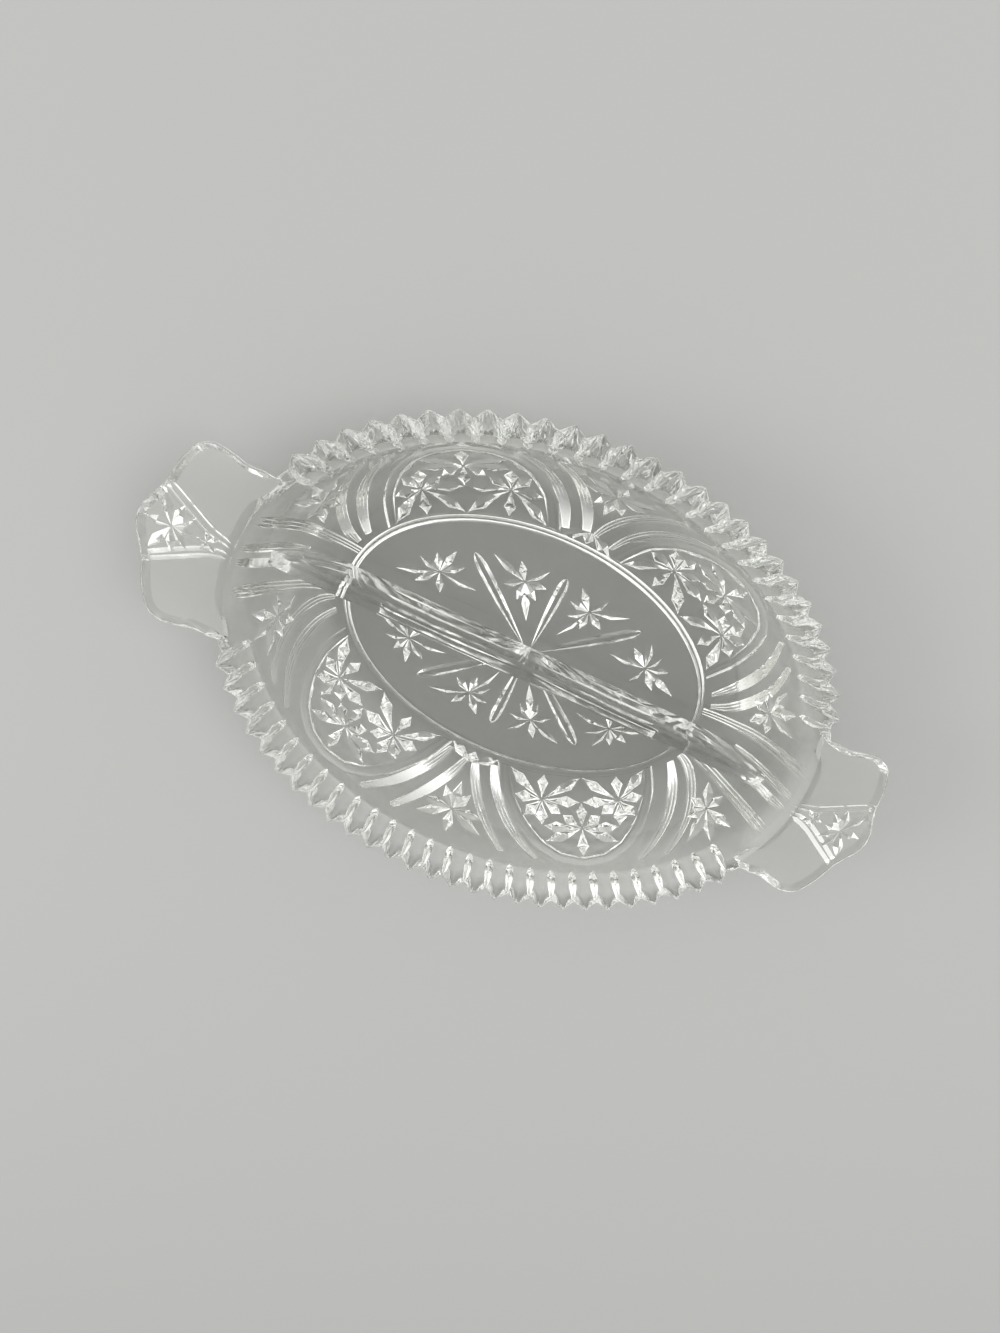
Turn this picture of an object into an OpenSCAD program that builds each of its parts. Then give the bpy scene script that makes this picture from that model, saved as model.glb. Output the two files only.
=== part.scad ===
// Oval two-compartment relish tray of clear pressed glass, with a toothed rim,
// two tab handles and a pattern pressed into its outside. Millimetres, +Z up.
// The origin is at the bottom centre, X runs through the handles.

/* [Overall] */
// Length of the tray over both handles
tray_length = 275; // [250:1:320]
// Width of the oval rim over its teeth
rim_width = 171; // [150:1:200]
// Height of the rim above the table
tray_height = 42; // [36:0.5:55]
// Thickness of the glass in the floor and the wall
glass_t = 4.2; // [3:0.1:5.5]

/* [Floor] */
// Length of the flat oval floor
floor_length = 150; // [130:1:165]
// Width of the flat oval floor
floor_width = 94.8; // [80:0.2:110]
// Height of the foot ring under the floor
foot_h = 1.3; // [0.8:0.1:3]
// Width of the foot ring
foot_w = 3; // [2:0.1:6]

/* [Wall] */
// How far the wall runs outward before it turns up
belly_reach = 21; // [16:0.5:26]
// How far the wall has risen there
belly_rise = 2.3; // [1:0.1:4]

/* [Rim band] */
// Height of the fluted band under the rim
band_h = 12; // [8:0.5:15]
// How far the band flares outward over its height
band_flare = 5.6; // [3:0.1:8]
// Width of the rim's flat top behind the teeth
rim_t = 4.4; // [3:0.1:6]
// Teeth on each long side
teeth = 27; // [15:2:29]
// Spacing of the teeth along the rim
tooth_pitch = 8.85; // [7:0.05:9]
// How far a tooth stands out
tooth_depth = 2.5; // [1:0.1:4]
// How far the top of the rim dips between two teeth
crown_dip = 1.6; // [0.5:0.1:3]

/* [Handles] */
// How far a handle stands out beyond the rim
handle_reach = 26; // [20:0.5:32]
// Width of a handle
handle_w = 62; // [50:1:70]
// Thickness of a handle
handle_t = 4.6; // [3:0.1:7]
// Width of the fan at the handle's edge
fan_w = 26; // [20:0.5:32]
// Distance of the fan's star from the handle's edge
fan_star_inset = 12; // [9:0.5:15]

/* [Divider] */
// Width of the divider at its base
divider_w = 7; // [5:0.1:10]
// Width of the divider at its top
divider_top_w = 5.8; // [4:0.1:8]
// How far the divider's top lies below the rim
divider_drop = 15; // [13:0.5:25]
// Depth of the groove along the divider's top
divider_groove = 1; // [0.4:0.1:2]

/* [Pattern] */
// Width of the raised ribs that frame the arches
rib_w = 2.6; // [1.5:0.1:4]
// Height of those ribs
rib_h = 0.9; // [0.4:0.1:1.5]
// Depth of the cuts of the stars
cut_depth = 1.3; // [0.5:0.1:1.8]
// Spacing of the star lattice along the wall
lattice_run = 15; // [10:0.5:16]
// Spacing of the star lattice up the wall
lattice_rise = 10.5; // [8:0.5:12]
// Width of a cut of the stars
star_cut_w = 3.4; // [1.5:0.1:4.5]
// Length of the floor's ray to the long side, from the centre to its tip
ray_r = 33; // [25:0.5:38]
// Width of a ray on the floor
ray_w = 3.4; // [2:0.1:5]
// Distance of the flowers nearest to the long sides from the centre, before the stretch
side_flower_r = 27; // [22:0.5:30]
// Distance of the flowers nearest to the ends from the centre, before the stretch
end_flower_r = 37; // [33:0.5:38]
// Length of the longest petal of the floor's flowers
petal_r = 9.5; // [6:0.5:10]
// Width of a petal
petal_w = 2.2; // [1:0.1:3]

/* [Hidden] */

glass = [0.80, 0.86, 0.80];
overrun = 0.6;
rib_sink = 0.5;

// Half sizes of the floor and reach of the wall beyond it, at the side and at the end
floor_a = floor_length / 2;
floor_b = floor_width / 2;
rim_a = tray_length / 2 - handle_reach;
rim_b = rim_width / 2;
side_reach = rim_b - tooth_depth - floor_b;
end_reach = rim_a - tooth_depth - floor_a;

floor_top = foot_h + glass_t;
band_foot = tray_height - band_h;
wall_reach = side_reach - band_flare;

// Steps of the meshes along the wall's height and along each panel
wall_steps = 8;
arch_steps = 14;
corner_steps = 5;
side_steps = 6;
end_steps = 6;
rim_end_steps = 12;
spline_steps = 5;

half_turn = 180;
quarter = 90;

// Angles where the panels meet at the foot and at the band, and how the border bends between
end_border_angle = 10.3;
corner_foot_angle = 12;
corner_band_angle = 33;
corner_border_bend = 1.15;
side_foot_angle = 88.6;
side_band_angle = 76;
side_border_bend = 1.5;

function mix(a, b, share) = a + (b - a) * share;
function unit(v) = v / norm(v);
function curve(p0, p1, p2, k) = mix(mix(p0, p1, k), mix(p1, p2, k), k);

// Outside of the wall in its section: distance out from the floor's edge, and height
wall_foot = [0, foot_h];
wall_belly = [belly_reach, foot_h + belly_rise];
wall_top = [wall_reach, band_foot];
function section_at(k) = curve(wall_foot, wall_belly, wall_top, k);
function section_dir(k) = unit(mix(wall_belly - wall_foot, wall_top - wall_belly, k));

// Share of the section's length against the curve's own parameter
table_steps = 24;
function run_to(i) = i == 0 ? 0
    : run_to(i - 1) + norm(section_at(i / table_steps) - section_at((i - 1) / table_steps));
section_run = run_to(table_steps);
run_table = [for (i = [0 : table_steps]) [run_to(i) / section_run, i / table_steps]];

// Outer section at a share of the height, moved outward by off
function outer_at(s, off = 0) =
    let (k = lookup(s, run_table), p = section_at(k), d = section_dir(k))
    p + off * [d.y, -d.x];

// Inner section, one glass thickness inside the outer one
top_dir = section_dir(1);
function inner_at(s) = s <= 0 ? [0, floor_top]
    : s >= 1 ? [wall_reach - glass_t / top_dir.y, band_foot]
    : outer_at(s, -glass_t);

// Place on the oval at an angle, a distance out from the floor's edge
function oval_at(t, e) = [
    (floor_a + e * end_reach / side_reach) * cos(t),
    (floor_b + e) * sin(t)
];
function place(t, section) = [each oval_at(t, section.x), section.y];
function wall_pt(t, s, off = 0) = place(t, outer_at(s, off));

// Point on the outside of the wall, p and q millimetres along it from a place
near_angle = 1;
near_share = 0.02;
function run_per_angle(t, s) =
    norm(wall_pt(t + near_angle, s) - wall_pt(t - near_angle, s)) / (2 * near_angle);
function run_per_share(t, s) =
    norm(wall_pt(t, s + near_share) - wall_pt(t, s - near_share)) / (2 * near_share);
function on_wall(at, p, q, off) =
    wall_pt(at[0] + p / run_per_angle(at[0], at[1]), at[1] + q / run_per_share(at[0], at[1]), off);

// Closed skin over rings of points, each ring clockwise when seen from before the first
module skin(rings) {
    n = len(rings[0]);
    m = len(rings);
    polyhedron(
        points = [for (ring = rings) each ring],
        faces = [
            [for (i = [0 : n - 1]) i],
            for (k = [0 : m - 2], i = [0 : n - 1])
                let (a = k * n + i, b = k * n + (i + 1) % n)
                each [[a, a + n, b + n], [a, b + n, b]],
            [for (i = [n - 1 : -1 : 0]) (m - 1) * n + i]
        ]
    );
}

// Panel of the wall between two borders, each a function of the share of the height
module wall_panel(low, high, steps) {
    w = steps + 1;
    inside = w * (wall_steps + 1);
    function share(i) = i / wall_steps;
    function angle(i, j) = mix(low[i], high[i], j / steps);
    function o(i, j) = i * w + j;
    function n(i, j) = inside + i * w + j;
    polyhedron(
        points = [
            for (i = [0 : wall_steps], j = [0 : steps]) place(angle(i, j), outer_at(share(i))),
            for (i = [0 : wall_steps], j = [0 : steps]) place(angle(i, j), inner_at(share(i)))
        ],
        faces = [
            for (i = [0 : wall_steps - 1], j = [0 : steps - 1]) each [
                [o(i, j), o(i + 1, j), o(i + 1, j + 1)],
                [o(i, j), o(i + 1, j + 1), o(i, j + 1)],
                [n(i, j), n(i, j + 1), n(i + 1, j + 1)],
                [n(i, j), n(i + 1, j + 1), n(i + 1, j)]
            ],
            for (j = [0 : steps - 1]) each [
                [o(0, j), o(0, j + 1), n(0, j + 1), n(0, j)],
                [n(wall_steps, j), n(wall_steps, j + 1), o(wall_steps, j + 1), o(wall_steps, j)]
            ],
            for (i = [0 : wall_steps - 1]) each [
                [o(i, 0), n(i, 0), o(i + 1, 0)],
                [n(i, 0), n(i + 1, 0), o(i + 1, 0)],
                [o(i, steps), o(i + 1, steps), n(i, steps)],
                [n(i, steps), o(i + 1, steps), n(i + 1, steps)]
            ]
        ]
    );
}

function border(foot, band, bend) =
    [for (i = [0 : wall_steps]) mix(foot, band, pow(i / wall_steps, bend))];
end_line = border(end_border_angle, end_border_angle, 1);
corner_line = border(corner_foot_angle, corner_band_angle, corner_border_bend);
side_line = border(side_foot_angle, side_band_angle, side_border_bend);
function mirrored(line, about) = [for (t = line) about - t];

// Raised rib on the wall along places given as angle and share of the height
module wall_rib(places) {
    last = len(places) - 1;
    function heading(k) =
        let (a = places[max(k - 1, 0)], b = places[min(k + 1, last)])
        unit([
            (b[0] - a[0]) * run_per_angle(a[0], a[1]),
            (b[1] - a[1]) * run_per_share(a[0], a[1])
        ]);
    skin([
        for (k = [0 : last])
            let (d = heading(k), w = rib_w / 2)
            [
                on_wall(places[k], -d.y * w, d.x * w, -rib_sink),
                on_wall(places[k], 0, 0, rib_h),
                on_wall(places[k], d.y * w, -d.x * w, -rib_sink)
            ]
    ]);
}

// Smooth run of places through a few chosen ones
function spline_at(pts, i, k) =
    let (
        last = len(pts) - 1,
        a = pts[max(i - 1, 0)], b = pts[i], c = pts[min(i + 1, last)], d = pts[min(i + 2, last)]
    )
    0.5 * (2 * b + (c - a) * k + (2 * a - 5 * b + 4 * c - d) * k * k
        + (3 * b - a - 3 * c + d) * k * k * k);
function spline(pts, steps) = [
    for (i = [0 : len(pts) - 2], j = [0 : steps - 1]) spline_at(pts, i, j / steps),
    pts[len(pts) - 1]
];

// Cut of a star: a four-sided pyramid whose point is the deepest place of the cut
module cut(rim, deep) {
    polyhedron(
        points = [each rim, deep],
        faces = [[3, 2, 1, 0], [0, 1, 4], [1, 2, 4], [2, 3, 4], [3, 0, 4]]
    );
}

// Star of eight cuts on the wall: along it, up it and between the two
cut_reach_share = 0.92;
small_star_share = 0.85;
diagonal = norm([lattice_run, lattice_rise]) / 2;
diagonal_angle = atan2(lattice_rise, lattice_run);
star_cuts = [
    for (side = [0, half_turn]) each [
        [side, lattice_run],
        [side + diagonal_angle, diagonal],
        [side + quarter, lattice_rise],
        [side + half_turn - diagonal_angle, diagonal]
    ]
];
cut_middle_share = 0.42;
grow = (cut_depth + overrun) / cut_depth;
function turned(at, a, along, aside, off) = on_wall(
    at,
    along * cos(a) - aside * sin(a),
    along * sin(a) + aside * cos(a),
    off
);
module wall_star(at, size = 1) {
    w = star_cut_w / 2 * grow;
    for (ray = star_cuts) {
        a = ray[0];
        r = ray[1] * cut_reach_share * size;
        m = r * cut_middle_share;
        cut(
            [
                turned(at, a, mix(m, 0, grow), 0, overrun),
                turned(at, a, m, -w, overrun),
                turned(at, a, mix(m, r, grow), 0, overrun),
                turned(at, a, m, w, overrun)
            ],
            turned(at, a, m, 0, -cut_depth)
        );
    }
}

// Cut on a level underside at height base, from one tip to the other
module flat_cut(from, to, w, depth, base, middle = cut_middle_share) {
    d = unit(to - from);
    side = [-d.y, d.x] * w / 2 * (depth + overrun) / depth;
    mid = mix(from, to, middle);
    more = (depth + overrun) / depth;
    low = base - overrun;
    cut(
        [
            [each mix(mid, from, more), low],
            [each (mid + side), low],
            [each mix(mid, to, more), low],
            [each (mid - side), low]
        ],
        [each mid, base + depth]
    );
}

// Places of the arches' stars and ribs, as angle and share of the height
arch_star_shares = [[67.5, 0.3], [44, 0.3], [56, 0.62]];
side_star_shares = [90, 0.69];
corner_star_shares = [19.5, 0.69];
outer_rib_shares = [[88, 0.08], [86.5, 0.28], [82.5, 0.58], [77, 0.93]];
inner_rib_shares = [[83, 0.08], [80.6, 0.35], [75.5, 0.63], [69.5, 0.93]];
outer_rib_end_shares = [[13, 0.08], [16, 0.26], [25.5, 0.62], [36, 0.93]];
inner_rib_end_shares = [[19, 0.08], [24.5, 0.3], [32, 0.58], [43, 0.93]];
end_rib_shares = [[3.6, 0.08], [3, 0.36], [2.6, 0.64], [2.3, 0.93]];
end_edge_rib_shares = [[8.5, 0.08], [8.8, 0.36], [9, 0.64], [9.2, 0.93]];
rib_steps = 3;

// Panel under an arch: four framing ribs and three stars
module arch_panel() {
    color(glass)
    difference() {
        union() {
            wall_panel(corner_line, side_line, arch_steps);
            for (rib = [outer_rib_shares, inner_rib_shares, outer_rib_end_shares, inner_rib_end_shares])
                wall_rib(spline(rib, rib_steps));
        }
        for (star = arch_star_shares) wall_star(star);
    }
}

module corner_panel() {
    color(glass)
    difference() {
        wall_panel(end_line, corner_line, corner_steps);
        wall_star(corner_star_shares, small_star_share);
    }
}

module side_panel() {
    color(glass)
    difference() {
        wall_panel(side_line, mirrored(side_line, half_turn), side_steps);
        wall_star(side_star_shares, small_star_share);
    }
}

// Panel under a handle: two ribs along its middle and one along each border
module end_panel() {
    color(glass) {
        wall_panel(mirrored(end_line, 0), end_line, end_steps);
        for (m = [0, 1], rib = [end_rib_shares, end_edge_rib_shares])
            mirror([0, m, 0]) wall_rib(spline(rib, rib_steps));
    }
}

module left_side() mirror([1, 0, 0]) children();
module front_side() mirror([0, 1, 0]) children();

// Angles of the floor's outline, through the feet of all the panels
function stations(from, to, steps) = [for (j = [0 : steps - 1]) mix(from, to, j / steps)];
upper_half = [
    each stations(end_border_angle, corner_foot_angle, corner_steps),
    each stations(corner_foot_angle, side_foot_angle, arch_steps),
    each stations(side_foot_angle, half_turn - side_foot_angle, side_steps),
    each stations(half_turn - side_foot_angle, half_turn - corner_foot_angle, arch_steps),
    each stations(half_turn - corner_foot_angle, half_turn - end_border_angle, corner_steps)
];
floor_round = [
    each stations(-end_border_angle, end_border_angle, end_steps),
    each upper_half,
    each stations(half_turn - end_border_angle, half_turn + end_border_angle, end_steps),
    for (i = [len(upper_half) - 1 : -1 : 1]) 360 - upper_half[i]
];
module floor_oval(e) {
    polygon([for (t = floor_round) oval_at(t, e)]);
}

// The floor's rays and flowers lie on a circle that is drawn out along the tray
floor_stretch = 1.31;
ray_tip_shares = [1.36, 1.15, 1, 1.15, 1.36, 1.15, 1, 1.15];
ray_angle = 360 / len(ray_tip_shares);
function floor_spot(r, a) = [r * cos(a) * floor_stretch, r * sin(a)];
petal_shares = [0.5, 0.55, 1, 0.6, 0.7, 0.6, 1, 0.55];
petal_depth_share = 0.5;
ray_depth_share = 0.8;
ray_start = 3;

// Star of straight cuts on a level underside, with the reach of each cut as a share of r
star_heart = 1;
module flat_star(at, turn, r, reach_shares, w, depth, base) {
    count = len(reach_shares);
    for (k = [0 : count - 1]) {
        a = turn + k * 360 / count;
        d = [cos(a), sin(a)];
        flat_cut(at + star_heart * d, at + r * reach_shares[k] * d, w, depth, base);
    }
}

module floor_plate() {
    color(glass)
    difference() {
        translate([0, 0, foot_h]) linear_extrude(glass_t) floor_oval(0);
        for (k = [0 : len(ray_tip_shares) - 1]) {
            a = k * ray_angle;
            tip = floor_spot(ray_r * ray_tip_shares[k], a);
            flat_cut(floor_spot(ray_start, a), tip, ray_w, cut_depth * ray_depth_share, foot_h);
        }
        for (k = [0 : len(ray_tip_shares) - 1]) {
            a = (k + 0.5) * ray_angle;
            r = abs(cos(a)) > abs(sin(a)) ? end_flower_r : side_flower_r;
            at = floor_spot(r, a);
            flat_star(at, a, petal_r, petal_shares, petal_w, cut_depth * petal_depth_share, foot_h);
        }
    }
}

module foot_ring() {
    color(glass)
    linear_extrude(foot_h)
    difference() {
        floor_oval(0);
        floor_oval(-foot_w);
    }
}

// Hollow between the two end panels, as deep as the inside of the tray
module end_hollow() {
    right = [for (j = [0 : end_steps]) mix(-end_border_angle, end_border_angle, j / end_steps)];
    around = [each right, for (t = right) half_turn + t];
    skin([
        for (i = [0 : wall_steps])
            [for (t = around) place(t, inner_at(i / wall_steps))]
    ]);
}

module divider() {
    top = tray_height - divider_drop - floor_top;
    wide = divider_w / 2;
    narrow = divider_top_w / 2;
    color(glass)
    intersection() {
        translate([-rim_a, 0, floor_top]) rotate([90, 0, 90]) linear_extrude(2 * rim_a)
            polygon([
                [-wide, 0], [wide, 0],
                [narrow, top - divider_groove], [narrow / 2, top], [0, top - divider_groove],
                [-narrow / 2, top], [-narrow, top - divider_groove]
            ]);
        end_hollow();
    }
}

// Angles of the teeth, evenly spaced along the rim from the middle of each side
function rim_pt(t) = [rim_a * cos(t), rim_b * sin(t)];
function rim_run(i) = i == 0 ? 0
    : rim_run(i - 1) + norm(rim_pt(quarter - i) - rim_pt(quarter - i + 1));
rim_table = [for (i = [0 : quarter]) [rim_run(i), i]];
function tooth_angle(n) = quarter - sign(n) * lookup(abs(n) * tooth_pitch, rim_table);
tooth_half = (teeth - 1) / 2;
band_border_angle = tooth_angle(tooth_half + 0.5);
rim_inner = side_reach - rim_t;
band_inner = inner_at(1).x;
flute_share = 0.5;

module fluted_band() {
    color(glass)
    skin([
        for (n = [2 * tooth_half + 1 : -1 : -2 * tooth_half - 1])
            let (
                t = tooth_angle(n / 2),
                tip = n % 2 == 0,
                out = tip ? tooth_depth : 0,
                top = tip ? tray_height : tray_height - crown_dip
            )
            [
                place(t, [band_inner, band_foot]),
                place(t, [rim_inner, top]),
                place(t, [side_reach + out, top]),
                place(t, [wall_reach + out * flute_share, band_foot])
            ]
    ]);
}

handle_foot = tray_height - handle_t;
rim_end_angles = [
    for (j = [0 : rim_end_steps]) mix(-band_border_angle, band_border_angle, j / rim_end_steps)
];

module rim_end() {
    color(glass)
    skin([
        for (t = rim_end_angles)
            [
                place(t, [band_inner, band_foot]),
                place(t, [rim_inner, tray_height]),
                place(t, [side_reach, tray_height]),
                place(t, [side_reach, handle_foot]),
                place(t, [wall_reach, band_foot])
            ]
    ]);
}

// Half of a handle's outline, as shares of its reach beyond the rim and of half its width
handle_outline_shares = [
    [0.16, 0.98], [0.38, 1], [0.57, 0.93], [0.69, 0.76],
    [0.76, 0.58], [0.8, 0.43], [0.88, 0.29], [0.97, 0.14], [1, 0]
];
function handle_pt(shares) = [rim_a + shares.x * handle_reach, shares.y * handle_w / 2];

// The outline starts beside the end of the plain rim: shares of the way from there to the rim's
// own tip, and of that end's distance from the middle
neck_shares = [[0.5, 0.897], [0.89, 0.888]];
neck_start = oval_at(band_border_angle, side_reach);
function neck_pt(shares) = [mix(neck_start.x, rim_a, shares.x), shares.y * neck_start.y];
fan_root_w = 6;
notch_share = 0.77;
fan_star_x = tray_length / 2 - fan_star_inset;
fan_star_shares = [0.7, 0.85, 0.65, 0.6, 1, 0.6, 0.65, 0.85];
fan_star_r = 12;

// Raised rib under the handle, from the rim to the notch in its edge
module handle_rib() {
    from = [rim_a - tooth_depth, fan_root_w / 2];
    to = [rim_a + notch_share * handle_reach, fan_w / 2];
    d = unit(to - from);
    side = [-d.y, d.x] * rib_w / 2;
    skin([
        for (p = [to, from])
            [
                [each (p + side), handle_foot + rib_sink],
                [each p, handle_foot - rib_h],
                [each (p - side), handle_foot + rib_sink]
            ]
    ]);
}

module handle() {
    root = [for (t = rim_end_angles) oval_at(t, side_reach)];
    half = spline(
        [for (s = neck_shares) neck_pt(s), for (s = handle_outline_shares) handle_pt(s)],
        spline_steps
    );
    outline = [
        for (p = half) p,
        for (i = [len(half) - 2 : -1 : 0]) [half[i].x, -half[i].y],
        each root
    ];
    color(glass)
    difference() {
        union() {
            translate([0, 0, handle_foot]) linear_extrude(handle_t) polygon(outline);
            for (m = [0, 1]) mirror([0, m, 0]) handle_rib();
        }
        flat_star([fan_star_x, 0], 0, fan_star_r, fan_star_shares, star_cut_w, cut_depth, handle_foot);
    }
}

floor_plate();
foot_ring();
divider();
front_side() left_side() arch_panel();  // arch_panel_front_left
front_side() arch_panel();  // arch_panel_front_right
left_side() arch_panel();  // arch_panel_rear_left
arch_panel();  // arch_panel_rear_right
front_side() left_side() corner_panel();  // corner_panel_front_left
front_side() corner_panel();  // corner_panel_front_right
left_side() corner_panel();  // corner_panel_rear_left
corner_panel();  // corner_panel_rear_right
front_side() side_panel();  // side_panel_front
side_panel();  // side_panel_rear
left_side() end_panel();  // end_panel_left
end_panel();  // end_panel_right
front_side() fluted_band();  // fluted_band_front
fluted_band();  // fluted_band_rear
left_side() rim_end();  // rim_end_left
rim_end();  // rim_end_right
left_side() handle();  // handle_left
handle();  // handle_right
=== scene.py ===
"""Clear pressed-glass relish tray on a pale studio floor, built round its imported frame.

The tray's glass is one closed mesh. Its wall, rim and teeth are one section carried round an oval,
the pattern is pressed into its outside, and the handles and the divider are grown onto it.
Lengths are in millimetres until a finished mesh is scaled to metres.
"""
import math
from contextlib import contextmanager

import bmesh
import bpy
import numpy as np
from mathutils import Matrix, Vector


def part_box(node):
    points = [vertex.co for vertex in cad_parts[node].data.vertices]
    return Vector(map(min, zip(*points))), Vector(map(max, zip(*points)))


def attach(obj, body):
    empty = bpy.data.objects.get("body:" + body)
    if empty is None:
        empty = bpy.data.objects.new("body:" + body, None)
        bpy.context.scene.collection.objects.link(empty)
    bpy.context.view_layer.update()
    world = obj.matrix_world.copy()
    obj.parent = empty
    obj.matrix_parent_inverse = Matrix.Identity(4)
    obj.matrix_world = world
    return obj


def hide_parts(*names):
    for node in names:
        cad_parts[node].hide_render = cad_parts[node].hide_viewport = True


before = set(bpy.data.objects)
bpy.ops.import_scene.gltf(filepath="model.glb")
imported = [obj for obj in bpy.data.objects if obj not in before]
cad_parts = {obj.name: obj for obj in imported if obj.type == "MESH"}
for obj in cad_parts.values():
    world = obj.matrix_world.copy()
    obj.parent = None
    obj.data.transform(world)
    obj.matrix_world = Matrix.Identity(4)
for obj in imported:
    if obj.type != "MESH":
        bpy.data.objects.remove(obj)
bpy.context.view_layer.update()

MM = 0.001

# Overall sizes, as the frame's own pieces have them
handle_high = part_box("handle_right")[1]
band_low, band_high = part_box("fluted_band_rear")
tray_half_length = handle_high.x / MM
rim_half_width = band_high.y / MM
tray_height = band_high.z / MM
band_foot = band_low.z / MM
# Sizes that lie inside the pieces
rim_half_length = 111.5
handle_foot = 37.4
glass_t = 4.2

# Floor and foot
floor_a = 75.0
floor_b = 47.4
foot_h = 1.3
foot_ring_w = 3.0
foot_edge = 0.08
floor_top = foot_h + glass_t
# Where the floor's flat faces end, inwards from the foot ring and from the wall
underside_inset = 1
floor_inset = 2.0

# Wall and rim, as distance out from the floor's edge and height
tooth_depth = 2.5
side_reach = rim_half_width - tooth_depth - floor_b
end_reach = rim_half_length - tooth_depth - floor_a
reach_ratio = end_reach / side_reach
wall_reach = 30.0
belly = (21.0, foot_h + 2.3)
band_foot_t = 4.437
rim_t = 4.4
rim_round = 1.3
# Inset of a rounding's middle from its square corner, as a share of the rounding
round_corner_share = 0.3
teeth = 27
tooth_pitch = 8.85
# How far the crown sinks between two teeth, and how far the band steps out at its foot
crown_dip = 1.6
band_step = 1.3


# Section of the wall

def blend(a, b, share):
    return a + (b - a) * share


def soft_step(x):
    x = min(max(x, 0.0), 1.0)
    return x * x * (3 - 2 * x)


curve_steps = 300


def wall_curve(k):
    """Outside of the wall at the parameter k of its curve: distance out and height."""
    foot, turn, top = np.array([0, foot_h]), np.array(belly), np.array([wall_reach, band_foot])
    k = np.asarray(k, float)[..., None]
    return (1 - k) ** 2 * foot + 2 * k * (1 - k) * turn + k ** 2 * top


def runs_along(points):
    """How far each point lies along the line through them all."""
    return np.concatenate([[0], np.cumsum(np.linalg.norm(np.diff(points, axis=0), axis=1))])


curve_points = wall_curve(np.linspace(0, 1, curve_steps))
curve_runs = runs_along(curve_points)
wall_run = curve_runs[-1]
curve_dirs = np.gradient(curve_points, axis=0)
curve_dirs /= np.linalg.norm(curve_dirs, axis=1)[:, None]


def section_at(share):
    """Point and direction of the wall's outside at a share of its run up the wall."""
    runs = curve_runs / wall_run
    point = np.array([np.interp(share, runs, curve_points[:, i]) for i in (0, 1)])
    along = np.array([np.interp(share, runs, curve_dirs[:, i]) for i in (0, 1)])
    return point, along


def oval_at(angle, out, height):
    t = math.radians(angle)
    return np.array([
        (floor_a + out * reach_ratio) * math.cos(t),
        (floor_b + out) * math.sin(t),
        height,
    ])


def on_wall(angle, share):
    return oval_at(angle, *section_at(share)[0])


def mm_per_degree(angle, share):
    """Length of one degree round the oval, at a share of the wall."""
    near = 0.5
    run = np.linalg.norm(on_wall(angle + near, share) - on_wall(angle - near, share))
    return run / (2 * near)


# Smooth paths and the four quarters

def smooth_path(places, steps):
    """Smooth run of places through a few chosen ones."""
    places = [np.array(p, float) for p in places]
    last = len(places) - 1
    path = []
    for i in range(last):
        a, b, c, d = (places[min(max(i + o, 0), last)] for o in (-1, 0, 1, 2))
        for k in (j / steps for j in range(steps)):
            path.append(0.5 * (
                2 * b + (c - a) * k + (2 * a - 5 * b + 4 * c - d) * k ** 2
                + (3 * b - a - 3 * c + d) * k ** 3
            ))
    return path + [places[-1]]


quarters = [(sx, sy) for sx in (1, -1) for sy in (1, -1)]


def quarter_angle(angle, sx, sy):
    """An angle of the first quarter, mirrored into another."""
    return (angle if sx > 0 else 180 - angle) * sy


# Meshes and node trees

def link(obj):
    bpy.context.scene.collection.objects.link(obj)
    return obj


def discard(*objects):
    for obj in objects:
        bpy.data.objects.remove(obj)


def mesh_object(name, points, faces=(), edges=()):
    mesh = bpy.data.meshes.new(name)
    mesh.from_pydata([tuple(p) for p in points], edges, faces)
    mesh.update()
    return link(bpy.data.objects.new(name, mesh))


def mark(obj, label, numbers):
    """Gives each point of an object a number under the label."""
    attribute = obj.data.attributes.new(label, "FLOAT", "POINT")
    attribute.data.foreach_set("value", [float(n) for n in numbers])


@contextmanager
def mesh_work(obj):
    """Opens an object's mesh for changes, and puts it back after them."""
    work = bmesh.new()
    work.from_mesh(obj.data)
    yield work
    work.to_mesh(obj.data)
    work.free()


def outward(obj, join=0.0):
    """Closes seams that are no wider than the join, and turns every face outwards."""
    with mesh_work(obj) as work:
        if join:
            bmesh.ops.remove_doubles(work, verts=work.verts, dist=join)
        bmesh.ops.recalc_face_normals(work, faces=work.faces)
    return obj


def ringed_body(name, rings):
    """Closed body through rings that all have the same number of points, with flat ends."""
    count = len(rings[0])
    last = len(rings) - 1
    faces = []
    for k in range(last):
        for i in range(count):
            here, after = k * count + i, k * count + (i + 1) % count
            faces.append((here, after, after + count, here + count))
    faces += [tuple(range(count)), tuple(last * count + i for i in range(count))]
    return outward(mesh_object(name, [p for ring in rings for p in ring], faces))


def curve_object(name, points, closed):
    curve = bpy.data.curves.new(name, "CURVE")
    curve.dimensions = "3D"
    line = curve.splines.new("POLY")
    line.points.add(len(points) - 1)
    for spot, p in zip(line.points, points):
        spot.co = (*p, 1)
    line.use_cyclic_u = closed
    return link(bpy.data.objects.new(name, curve))


class Flow:
    """A number that flows through a node tree; its sums and products add the nodes for them."""

    def __init__(self, tree, socket):
        self.tree, self.socket = tree, socket

    def calc(self, operation, *others):
        node = self.tree.nodes.new("ShaderNodeMath")
        node.operation = operation
        for slot, value in zip(node.inputs, (self, *others)):
            plug(self.tree, slot, value)
        return Flow(self.tree, node.outputs[0])

    def __add__(self, other):
        return self.calc("ADD", other)

    def __sub__(self, other):
        return self.calc("SUBTRACT", other)

    def __mul__(self, other):
        return self.calc("MULTIPLY", other)

    def __truediv__(self, other):
        return self.calc("DIVIDE", other)


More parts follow.
